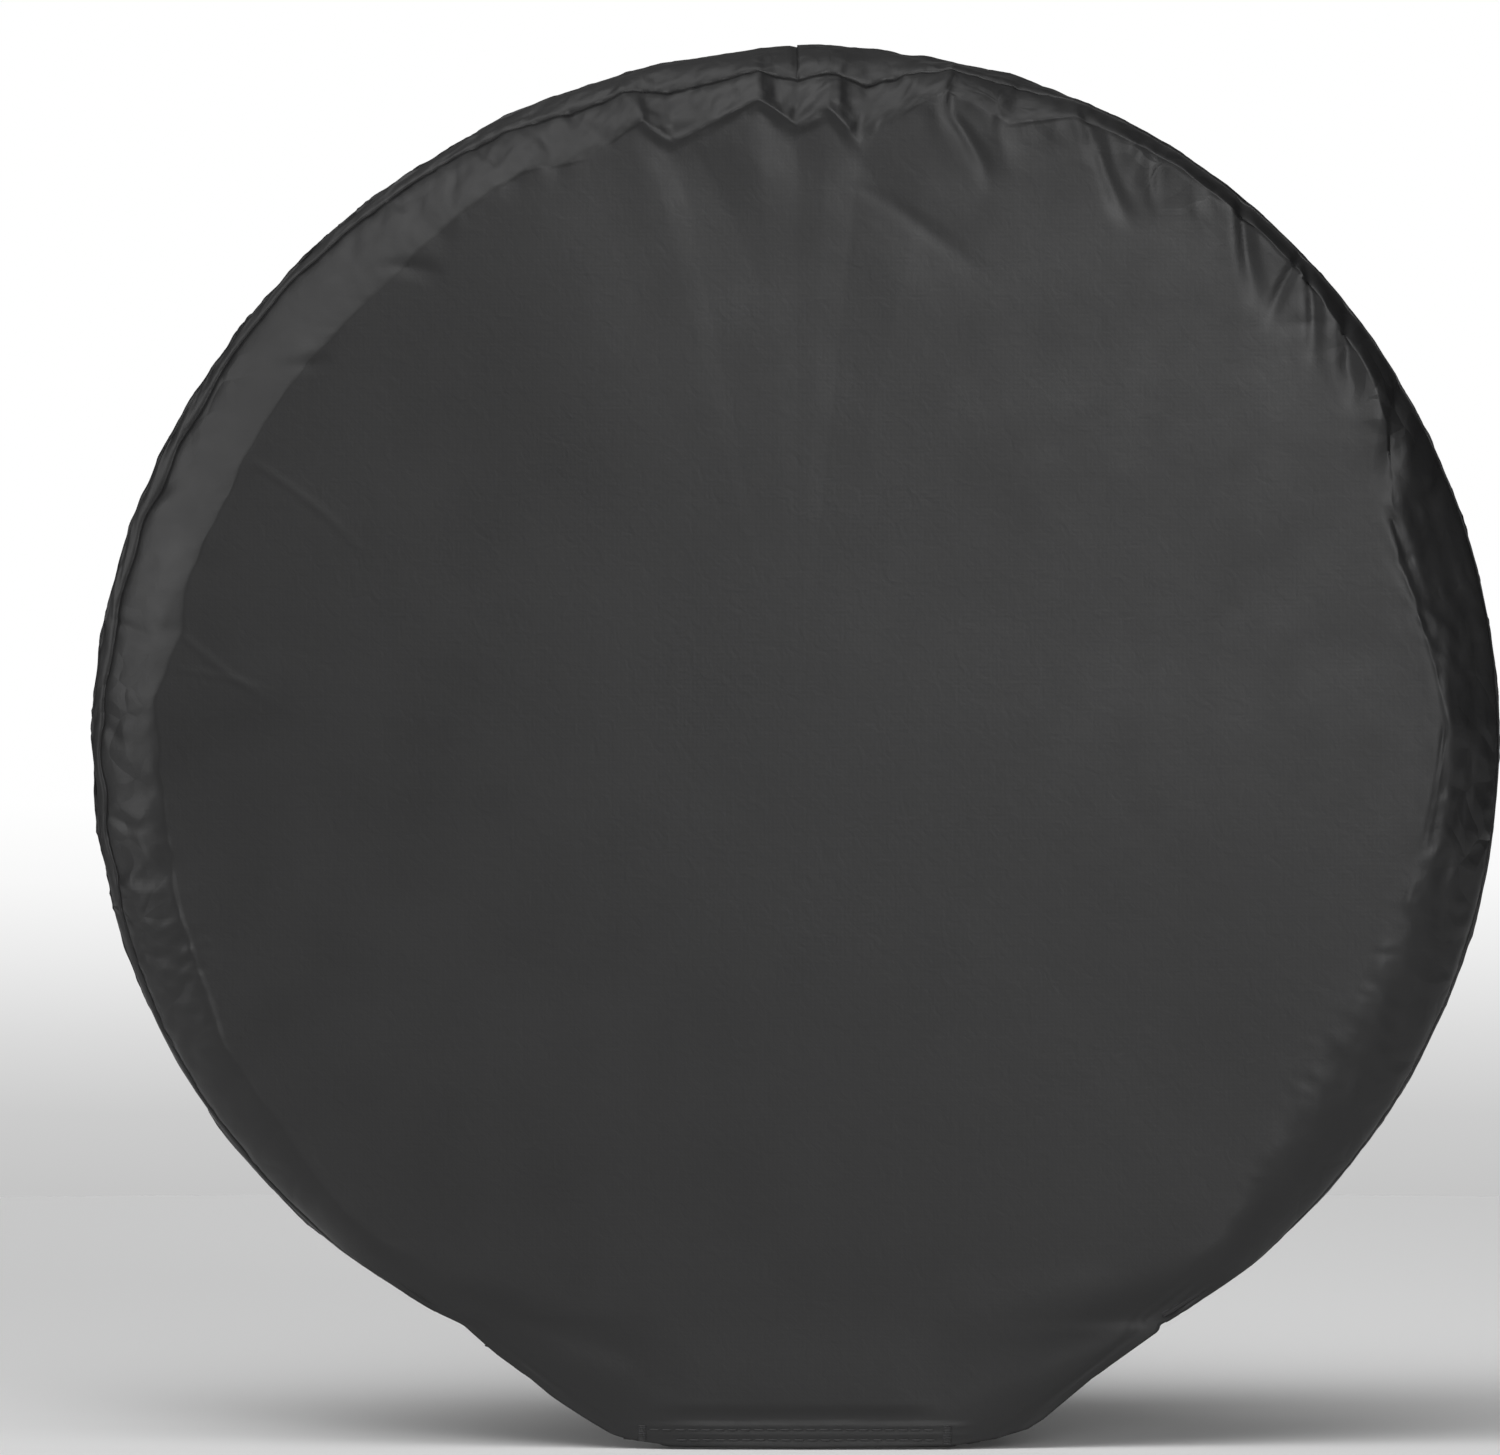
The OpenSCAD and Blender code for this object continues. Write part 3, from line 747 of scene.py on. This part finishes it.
def band_cloth(name, low, high):
    """Half of the side band, from the front seam to where the cloth turns in behind the tyre.

    The left half starts past the top, under the edge of the right half.
    """
    picked, angles = in_band_columns(low, high)
    q = np.linspace(0, 1, BAND_ROWS) ** 1.15
    angle, q = np.meshgrid(angles, q, indexing="ij")
    on_shoulder, on_wall = np.clip(q / WALL_WAY, 0, 1), np.clip((q - WALL_WAY) / (1 - WALL_WAY), 0, 1)
    start = seam_turn(angle)
    r, y = shoulder(angle, start + (math.pi / 2 - start) * on_shoulder)
    r = r + (TURN_R - r) * smooth(on_wall, 0, 1)
    y = y + (TURN_Y - y) * on_wall
    base = drum_point(angle, r, y)
    out = drum_point(angle, 1.0, -0.3)
    from_seam = q * BAND_WAY
    height = shoulder_crumple(angle, from_seam) + seam_pucker(angle, from_seam)
    if low > 0:
        height = height - JOIN_STEP * (1 - smooth(angle, TOP - 0.002, TOP + 0.012))
    points = push(base, height, out)
    miss = seam_line[picked] - points[:, 0]
    if low > 0:
        miss = miss + seam_out[picked] * -JOIN_STEP * (angles < TOP)[:, None]
    points = points + miss[:, None] * np.exp(-from_seam / (9 * MM))[..., None]
    points[:, 0, 1] += LIP_GAP

    # the seam allowance
    inward = seam_inward(picked, angles)
    lips = [points[:, 0] + inward * LIP_STEP * k for k in range(LIP_ROWS, 0, -1)]
    points = np.concatenate([lip[:, None] for lip in lips] + [points], 1)
    way = np.concatenate([np.full((len(angles), LIP_ROWS), -0.004), from_seam], 1)
    uv = np.stack([np.repeat(angles[:, None], points.shape[1], 1) * BAND_R, way], -1)
    out = np.concatenate([np.repeat(out[:, :1], LIP_ROWS, 1), out], 1)
    return cloth_piece(name, points, uv, CLOTH, out)


# ---- Rear gathers and their elastic ----

CURL_R = 117 * MM                       # the rear gathers turn in on this radius, in the side view
CURL_TURN = math.radians(73)
CURL_L = CURL_R * CURL_TURN
LAP_SPREAD = 0.29                       # width of a lap, as a share of the way from the turn line
LAP_LIFT = 3.1 * MM
TUNNEL_R = 3.6 * MM
HEM_WAY = 9 * MM                        # from the tunnel's stitches to the middle of its cord
HEM_R_MM = 258                          # radius of the ring that the elastic makes
HEM_R = HEM_R_MM * MM
ELASTIC_R = 1.9 * MM
CORD_SHIFT = 33 * MM                    # each length of elastic reaches this far into the next gather
CORD_STEP = 1.5 * MM
GATHER_ROWS = 44
OWN_COLUMNS = 54
LAP_COLUMNS = 16


def curl_place(angle, s, n):
    """A point on the rear gathers: s along the cloth from the turn line and n out from it."""
    turn = s / CURL_R
    r = TURN_R - CURL_R + (CURL_R + n) * np.cos(turn)
    return drum_point(angle, r, TURN_Y + (CURL_R + n) * np.sin(turn))


def curl_radius(s):
    return TURN_R - CURL_R + CURL_R * np.cos(s / CURL_R)


def ripple(angle, s):
    """Pleats drawn together by the elastic, deeper and closer towards it."""
    arc = angle * HEM_R_MM
    deep = smooth(s, 0.18 * CURL_L, 0.98 * CURL_L)
    fine = smooth(s, 0.62 * CURL_L, CURL_L)
    lean = 0.22 * (s - CURL_L) / MM
    wide = noise((arc + lean) / 15.0, s / CURL_L * 1.7, 91)
    tight = noise((arc - 0.5 * lean) / 6.5, s / CURL_L * 2.2, 95)
    return (4.2 * deep * wide + 1.3 * fine * tight) * MM


def hem_wander(angle):
    """The hem's edge isn't an even ring."""
    arc = angle * HEM_R_MM
    return (1.6 * noise(arc / 21, 0 * angle, 97) + 2.2 * noise(arc / 70, 0 * angle, 98)) * MM


def gather_angles(k):
    start = BAND_END + (k - 1) * PITCH
    return start, start + PITCH


def calm_start(k, angle, s):
    """0 on the part of a gather that lies under the one before, and 1 past it."""
    if k == 1:
        return np.ones_like(angle + s)
    from_start = (angle - gather_angles(k)[0]) * curl_radius(np.minimum(s, CURL_L))
    under = LAP_SPREAD * np.minimum(s, CURL_L)
    return smooth(from_start, under - 4 * MM, under + 7 * MM)


def gather_points(k, angle, s, n=0.0, lift_share=0.0):
    """A gather's points, with its crumples and pleats and the hem's wander; lift_share is 1 on its lap."""
    s_cloth = np.minimum(s, CURL_L)
    crumples = shoulder_crumple(angle, BAND_WAY + s_cloth)
    crumples = crumples * (1 - 0.85 * smooth(s_cloth, 0.25 * CURL_L, 0.85 * CURL_L))
    calm = calm_start(k, angle, s)
    hem = smooth(s_cloth, CURL_L - 2.2 * HEM_WAY, CURL_L - 0.9 * HEM_WAY)
    pleats = ripple(angle, s_cloth) * (1 - 0.62 * hem)
    outward_only = np.abs(pleats) * 0.9
    pleats = pleats * calm * (1 - lift_share) + outward_only * lift_share
    edge = hem_wander(angle) * smooth(s_cloth, CURL_L - 45 * MM, CURL_L)
    return curl_place(angle, s + edge, n + crumples * (1 - 0.5 * lift_share) + pleats)


def tunnel_path(p, lift):
    """Along and out of the cloth, for a way p over the tunnel from its stitches and back under it."""
    over = np.clip(p, 0, HEM_WAY)
    half = math.pi * TUNNEL_R
    turn = np.clip((p - HEM_WAY) / TUNNEL_R, 0, math.pi)
    back = np.clip(p - HEM_WAY - half, 0, HEM_WAY)
    around = TUNNEL_R + lift
    s = CURL_L - HEM_WAY + over + around * np.sin(turn) - back
    n = np.where(p < HEM_WAY, lift + TUNNEL_R * smooth(over, 0, HEM_WAY), around * np.cos(turn))
    return s, n + (TUNNEL_R - 1.7 * MM) * smooth(back, 0, HEM_WAY)


def gather_cloth(k):
    """One gather: its own part, the lap over the next one and the tunnel for the elastic."""
    low, high = gather_angles(k)
    s_rows = np.concatenate([[-5 * MM], np.linspace(0, CURL_L - HEM_WAY, GATHER_ROWS)])
    tunnel_l = HEM_WAY * 2 + math.pi * TUNNEL_R
    hem_rows = np.concatenate([np.linspace(0, HEM_WAY, 4)[1:],
                               HEM_WAY + np.linspace(0, math.pi * TUNNEL_R, 9)[1:],
                               HEM_WAY + math.pi * TUNNEL_R + np.linspace(0, HEM_WAY, 4)[1:]])
    own = np.linspace(0, 1, OWN_COLUMNS)
    lap = np.linspace(0, 1, LAP_COLUMNS + 1)[1:] if k < GATHERS else np.zeros(0)
    columns = len(own) + len(lap)
    p_lap = HEM_WAY + (TUNNEL_R + LAP_LIFT) * math.radians(35)

    full_s = np.concatenate([s_rows, np.full(len(hem_rows), CURL_L)])
    s_lap = np.maximum(full_s, 0)
    angle = np.empty((columns, len(full_s)))
    angle[:len(own)] = (low + (high - low) * own)[:, None]
    if len(lap):
        spread = (2.5 * MM + LAP_SPREAD * s_lap) / curl_radius(s_lap)
        angle[len(own):] = high + lap[:, None] * spread[None]
    past = (angle - high) * curl_radius(s_lap)[None]
    lift_share = smooth(past, -9 * MM, -0.5 * MM) if len(lap) else np.zeros_like(angle)
    lift = (LAP_LIFT * smooth(s_lap, 4 * MM, 42 * MM) + 1.0 * MM * smooth(s_lap, 0, 4 * MM)) * lift_share

    s = np.broadcast_to(s_rows, (columns, len(s_rows)))
    n = lift[:, :len(s_rows)] - 1.2 * MM * (s_rows < 0)
    p = hem_rows[None] * (1 - lift_share[:, -1:] * (1 - p_lap / tunnel_l))
    hem_s, hem_n = tunnel_path(p, lift[:, -1:])
    s = np.concatenate([s, hem_s], 1)
    n = np.concatenate([n, hem_n], 1)
    points = gather_points(k, angle, s, n, lift_share)
    way = np.concatenate([s_rows, CURL_L - HEM_WAY + hem_rows])
    uv = np.stack([angle * BAND_R, np.broadcast_to(BAND_WAY + way, angle.shape)], -1)
    middle = curl_place(angle, CURL_L, 0)
    out = curl_place(angle, s, n + 0.02) - curl_place(angle, s, n)
    in_tunnel = np.arange(len(way)) >= len(s_rows) + 3
    out = np.where(in_tunnel[None, :, None], points - middle, out)
    return cloth_piece(f"gather_cloth_{k:02d}", points, uv, CLOTH, out)


def elastic_cord(k):
    """One gather's length of the elastic, along the middle of the tunnel and on into the next gather."""
    low, high = gather_angles(k)
    shift = CORD_SHIFT / HEM_R
    low = low + (shift if k > 1 else 0.004)
    high = high + (shift if k < GATHERS else -0.004)
    angle = np.linspace(low, high, max(2, int((high - low) * HEM_R / CORD_STEP)))
    line = gather_points(k, angle, CURL_L)
    return tube_piece(f"elastic_cord_{k:02d}", [line], ELASTIC_R, ELASTIC, sides=12)


STITCH_PITCH = 6.5 * MM
STITCH_L = 5.0 * MM
THREAD_R = 0.5 * MM


def stitch_row(points, normals, pitch=STITCH_PITCH, length=STITCH_L, lift=0.35 * MM):
    """Short raised paths along a line of points, one for each stitch."""
    step = np.linalg.norm(np.diff(points, axis=0), axis=1)
    way = np.concatenate([[0], np.cumsum(step)])
    paths = []
    start = 0.0
    while start + length < way[-1]:
        at = start + length * np.array([0, 0.15, 0.5, 0.85, 1.0])
        place = np.stack([np.interp(at, way, points[:, i]) for i in range(3)], 1)
        n = np.stack([np.interp(at, way, normals[:, i]) for i in range(3)], 1)
        paths.append(place + n * (lift * np.array([-1.0, 0.6, 1.0, 0.6, -1.0]))[:, None])
        start += pitch
    return paths


def hem_stitches(k):
    """The row of stitches that closes the elastic's tunnel, on the outside of the cloth."""
    low, high = gather_angles(k)
    lap = LAP_SPREAD * CURL_L / HEM_R if k > 1 else 0.006
    angle = np.linspace(low + lap, high - 0.03, 90)
    line = gather_points(k, angle, CURL_L - HEM_WAY)
    out = unit(gather_points(k, angle, CURL_L - HEM_WAY, 1 * MM) - line)
    row = stitch_row(line, out, pitch=4.6 * MM, length=3.4 * MM)
    return tube_piece(f"hem_stitching_{k:02d}", row, 0.36 * MM, THREAD)


def elastic_tack(name, k, angle):
    """A bar tack sewn over the tunnel, which holds an end of the elastic."""
    paths = []
    for i in range(9):
        place = np.full(7, angle + (i - 4) * 0.85 * MM / HEM_R)
        turn = np.radians(np.linspace(-20, 200, 7))
        around = TUNNEL_R + 0.55 * MM
        paths.append(gather_points(k, place, CURL_L + around * np.sin(turn) * 0.96, around * np.cos(turn)))
    return tube_piece(name, paths, THREAD_R, THREAD)


# ---- Seam tape, join, hems and stitches ----

# The folded tape's section: to the side of the seam and inward from it, in mm
TAPE_SECTION = ((-2.3, 1.6), (-2.3, 4.2), (-1.9, 6.0), (0.0, 6.7), (1.9, 6.0), (2.3, 4.2), (2.3, 1.6))


def seam_binding():
    """Tape folded round the edges of the seam allowance, inside the cover."""
    picked, angles = in_band_columns(BAND_END, math.pi - BAND_END)
    seam, inward = seam_line[picked], seam_inward(picked, angles)
    across = facing(unit(np.cross(np.gradient(seam, axis=0), inward)), (0, 1, 0))
    columns = [seam + across * side_mm * MM + inward * deep_mm * MM for side_mm, deep_mm in TAPE_SECTION]
    points = np.stack(columns, 1)
    out = points - (seam + inward * 3 * MM)[:, None]
    uv = grid_uv(angles * BAND_R, np.arange(len(TAPE_SECTION)) * 2.2 * MM)
    tape = cloth_piece("seam_tape", points, uv, TAPE, out, thickness=0.5 * MM)
    rows = [stitch_row(points[:, i], unit(out[:, i]), lift=0.3 * MM) for i in (1, 5)]
    return tape, tube_piece("seam_stitching", rows[0] + rows[1], THREAD_R, THREAD, sides=5)


def band_line(angle, q_low, q_high, count):
    """Points and outward normals on the side band at one angle, from the seam towards the turn line."""
    band = band_right if math.cos(angle) >= 0 else band_left
    inward = Vector((-math.cos(angle), 0, -math.sin(angle)))
    points, normals = [], []
    for q in np.linspace(q_low, q_high, count):
        start = -0.5 * inward + Vector((0, FACE_Y + q * (TURN_Y - FACE_Y), 0))
        hit, point, normal, _ = band.ray_cast(start, inward)
        if hit:
            points.append(tuple(point))
            normals.append(tuple(normal))
    return np.array(points), np.array(normals)


def band_strip(name, angle_low, angle_high, q_low, q_high, depth, thickness=0.6 * MM):
    """A flat strip pressed on the inside of the side band, from the seam to the turn line."""
    columns, outs = [], []
    for angle in np.linspace(angle_low, angle_high, 6):
        points, normals = band_line(angle, q_low, q_high, 40)
        columns.append(points - normals * depth)
        outs.append(-normals)
    rows = min(len(c) for c in columns)
    points = np.stack([c[:rows] for c in columns])
    outs = np.stack([c[:rows] for c in outs])
    uv = grid_uv(np.arange(len(columns)) * 3 * MM, np.arange(rows) * 3 * MM)
    return cloth_piece(name, points, uv, TAPE, outs, thickness=thickness)


def band_stitches(name, angles):
    paths = []
    for angle in angles:
        points, normals = band_line(angle, 0.30, 0.97, 120)
        paths += stitch_row(points, normals)
    return tube_piece(name, paths, THREAD_R, THREAD)


def on_bib(x, z, behind=False):
    """The point and normal of the bib's front or back at x, z."""
    side = 1 if behind else -1
    hit, point, normal, _ = front.ray_cast(Vector((x, side * 0.5, z)), Vector((0, -side, 0)))
    if not hit:
        return None
    return np.array(point), np.array(normal)


def bib_strip(name, top_path, low_path, rows=6, thickness=0.6 * MM):
    """A strip pressed on the back of the bib between two paths, each of x, z points."""
    grid, outs = [], []
    for (x0, z0), (x1, z1) in zip(top_path, low_path):
        column, normals = [], []
        for t in np.linspace(0, 1, rows):
            found = on_bib(x0 + (x1 - x0) * t, z0 + (z1 - z0) * t, behind=True)
            if found is None:
                break
            column.append(found[0] + found[1] * (thickness + 0.15 * MM))
            normals.append(found[1])
        if len(column) == rows:
            grid.append(column)
            outs.append(normals)
    points, outs = np.array(grid), np.array(outs)
    uv = np.stack([points[..., 0], points[..., 2]], -1)
    return cloth_piece(name, points, uv, TAPE, outs, thickness=thickness)


def bib_edge_at(share, inset):
    """A place on the bib's left or right edge, moved in by inset; share runs from the corner to the knee."""
    (x0, z0), (x1, z1) = BIB_EDGE[0], BIB_EDGE[1]
    length = math.hypot(x1 - x0, z1 - z0)
    nx, nz = (z1 - z0) / length, -(x1 - x0) / length
    return x0 + (x1 - x0) * share + nx * inset, z0 + (z1 - z0) * share + nz * inset


def bib_edge_hem(name, side):
    shares = np.linspace(0.05, 0.93, 24)
    outer = [bib_edge_at(t, 0.8 * MM) for t in shares]
    inner = [bib_edge_at(t, 7.5 * MM) for t in shares]
    return bib_strip(name, [(side * x + bib_lean(side * x, z), z) for x, z in inner],
                     [(side * x + bib_lean(side * x, z), z) for x, z in outer], 4)


def bib_row(name, low_x, high_x, z):
    """One row of stitches through the bib's hem, seen on its front."""
    found = [on_bib(x, z) for x in np.linspace(low_x, high_x, 200)]
    points = np.array([f[0] for f in found if f])
    normals = np.array([f[1] for f in found if f])
    return tube_piece(name, stitch_row(points, normals), THREAD_R, THREAD)


TACK_SECTION = ((-2.2, -0.2), (-1.2, 0.3), (0.0, 0.4), (1.2, 0.3), (2.2, -0.2))    # across and out, in mm


def bar_tack(x):
    """Close stitches across the end of the bib's hem, seen on its front."""
    paths = []
    for z in np.arange(BIB_LOW + 2.5 * MM, BIB_LOW + 12 * MM, 0.8 * MM):
        found = [on_bib(x + across * MM, z) for across, _ in TACK_SECTION]
        if all(found):
            paths.append([f[0] + f[1] * out * MM for f, (_, out) in zip(found, TACK_SECTION)])
    return paths


# ---- Build the pieces and tie them to the frame ----

def tie(piece, body, slot, *nodes):
    """Ties a piece to its body, and hides the CAD nodes that it stands for. The slot is not used."""
    if nodes:
        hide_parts(*nodes)
    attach(piece, body)
    return piece


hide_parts("front_panel", "bib_panel")
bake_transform(front)

LEFT_END = math.pi - BAND_END
band_right = band_cloth("side_band_cloth_right", BAND_END, TOP)
band_left = band_cloth("side_band_cloth_left", TOP - JOIN_LAP, LEFT_END)
tie(band_right, "root", "cover_cloth", "side_band_right")
tie(band_left, "root", "cover_cloth", "side_band_left")
seam_tape, seam_stitching = seam_binding()
tie(seam_tape, "root", "hem_cloth", "front_seam_binding")
tie(seam_stitching, "root", "sewing_thread", "front_seam_thread")

JOIN_WAY = (0.20, 0.97)                 # how far a tape runs over the band, as shares of its width
END_WAY = (0.10, 0.985)
join_tape = tie(band_strip("join_tape", TOP - 0.026, TOP + 0.026, *JOIN_WAY, 3.4 * MM),
                "root", "hem_cloth", "band_join_tape")
join_stitching = tie(band_stitches("join_stitching", (TOP - 0.008, TOP - 0.022)),
                     "root", "sewing_thread", "band_join_threads")
end_hem_right = tie(band_strip("end_hem_right", BAND_END + 0.004, BAND_END + 0.042, *END_WAY, 1.8 * MM),
                    "root", "hem_cloth", "band_end_hem_right")
end_hem_left = tie(band_strip("end_hem_left", LEFT_END - 0.042, LEFT_END - 0.004, *END_WAY, 1.8 * MM),
                   "root", "hem_cloth", "band_end_hem_left")

hem_x = np.linspace(-0.096, 0.108, 81)
hem_rise = 5 * MM * smooth(np.abs(hem_x - 6 * MM), 0.06, 0.102)
bib_hem = bib_strip("bib_hem", [(x, BIB_LOW + BIB_HEM_H) for x in hem_x],
                    [(x, BIB_LOW + 0.9 * MM + rise) for x, rise in zip(hem_x, hem_rise)])
bib_pieces = [
    tie(bib_hem, "bib", "hem_cloth", "bib_bottom_hem"),
    tie(bib_edge_hem("edge_hem_right", 1), "bib", "hem_cloth", "bib_edge_hem_right"),
    tie(bib_edge_hem("edge_hem_left", -1), "bib", "hem_cloth", "bib_edge_hem_left")]
for row, low_x, height in (("upper", -0.0735, STITCH_ROWS[0]), ("lower", -0.0600, STITCH_ROWS[1])):
    stitching = bib_row(f"bib_{row}_stitching", low_x, 0.0725, BIB_LOW + height)
    bib_pieces.append(tie(stitching, "bib", "sewing_thread", f"bib_{row}_stitches"))
tacks = tube_piece("bib_bar_tack_threads", bar_tack(-0.0770) + bar_tack(0.0745), 0.4 * MM, THREAD)
bib_pieces.append(tie(tacks, "bib", "sewing_thread", "bib_bar_tacks"))

TACK_IN = 0.022                         # angle from the ends of the hem to the elastic's tacks
TACKS = {1: ("right", BAND_END + TACK_IN), GATHERS: ("left", BAND_END + GATHERS * PITCH - TACK_IN)}

for k in range(1, GATHERS + 1):
    body = f"gather_{k:02d}"
    cloth = gather_cloth(k)
    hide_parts(f"rear_gather_{k:02d}")
    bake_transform(cloth)
    extra = [tie(elastic_cord(k), body, "elastic", f"hem_elastic_{k:02d}"),
             tie(hem_stitches(k), body, "sewing_thread")]
    if k in TACKS:
        side, angle = TACKS[k]
        tack = elastic_tack(f"elastic_tack_{side}", k, angle)
        extra.append(tie(tack, body, "sewing_thread", f"elastic_end_tack_{side}"))


# ---- Floor, light and camera ----

def stage_floor():
    bpy.ops.mesh.primitive_circle_add(vertices=128, radius=2.6, fill_type="NGON",
                                      location=(0, 0, BIB_LOW - 0.0005))
    floor = bpy.context.object
    floor.name = "studio_floor"
    material = principled("pale_floor", (0.86, 0.86, 0.86), 0.9)[0]
    floor.data.materials.append(material)


def area_light(name, place, target, size, power, spread):
    light = bpy.data.lights.new(name, "AREA")
    light.spread = math.radians(spread)
    light.shape, light.size, light.size_y = "RECTANGLE", *size
    light.energy = power
    obj = bpy.data.objects.new(name, light)
    bpy.context.scene.collection.objects.link(obj)
    aim(obj, place, target)


def aim(obj, place, target):
    obj.location = place
    obj.rotation_euler = (Vector(target) - Vector(place)).to_track_quat("-Z", "Y").to_euler()


def greys(*tones):
    return [(place, (tone, tone, tone)) for place, tone in tones]


def studio_world(strength, sideways, front_back, upward, seen):
    """Soft light from all round, with a grey for each direction, and a backdrop that fades up to white."""
    world = bpy.data.worlds.new("studio")
    bpy.context.scene.world = world
    world.use_nodes = True
    tree = world.node_tree
    way = add_node(tree, "SeparateXYZ", {0: add_node(tree, "TexCoord").outputs["Generated"]}).outputs
    light = tree.nodes["Background"]
    colour = None
    for axis, tones in (("X", sideways), ("Y", front_back), ("Z", upward)):
        height = range_node(tree, way[axis], -1.0, 1.0)
        tone = ramp_node(tree, height, tones, "EASE")
        if colour:
            mix = add_node(tree, "Mix", data_type="RGBA", blend_type="MULTIPLY")
            mix.inputs["Factor"].default_value = 1
            tree.links.new(colour, mix.inputs["A"])
            tree.links.new(tone, mix.inputs["B"])
            tone = mix.outputs["Result"]
        colour = tone
    tree.links.new(colour, light.inputs["Color"])
    light.inputs["Strength"].default_value = strength
    backdrop = add_node(tree, "Background", {"Color": ramp_node(tree, height, seen, "EASE")})
    to_camera = add_node(tree, "LightPath").outputs["Is Camera Ray"]
    mix = add_node(tree, "MixShader", {0: to_camera, 1: light.outputs[0], 2: backdrop.outputs[0]})
    tree.links.new(mix.outputs[0], tree.nodes["World Output"].inputs["Surface"])


bpy.context.scene.view_settings.view_transform = "Standard"
stage_floor()
FLOOR_SEEN = 0.56                       # grey of the far floor, which the backdrop starts from
studio_world(
    2.0, sideways=greys((0.0, 0.8), (0.3, 0.55), (0.5, 0.42), (0.66, 0.25), (0.8, 0.02), (1.0, 0.01)),
    front_back=greys((0.0, 0.52), (0.30, 0.8), (0.40, 0.5), (0.49, 0.09), (0.85, 0.07), (1.0, 0.5)),
    upward=greys((0.0, 0.8), (0.45, 0.5), (0.55, 0.39), (0.72, 0.72), (0.88, 3.4), (1.0, 5.0)),
    seen=greys((0.0, FLOOR_SEEN), (0.4765, FLOOR_SEEN), (0.497, 1.0), (1.0, 1.0)))
area_light("key_front_right", (0.70, -2.2, 0.75), (0.10, 0, 0.1), (1.3, 1.3), 2.45, spread=40)
area_light("strip_left", (-2.6, -0.9, 0.6), (-0.2, 0, 0), (0.7, 2.0), 2.7, spread=70)

camera = bpy.data.cameras.new("camera")
camera_object = bpy.data.objects.new("camera", camera)
bpy.context.scene.collection.objects.link(camera_object)
bpy.context.scene.camera = camera_object
CAMERA_AWAY = 5.0
FRAME_W = 0.751                         # width of the view at the widest part of the cover
WIDEST_Y = 0.06                         # and how far in front of the origin that is
FRAME_X, FRAME_Z = -0.0235, 0.00625     # middle of the view
camera.sensor_width = 36
camera.lens = camera.sensor_width * (CAMERA_AWAY - WIDEST_Y) / FRAME_W
aim(camera_object, (FRAME_X, -CAMERA_AWAY, FRAME_Z), (FRAME_X, 0, FRAME_Z))
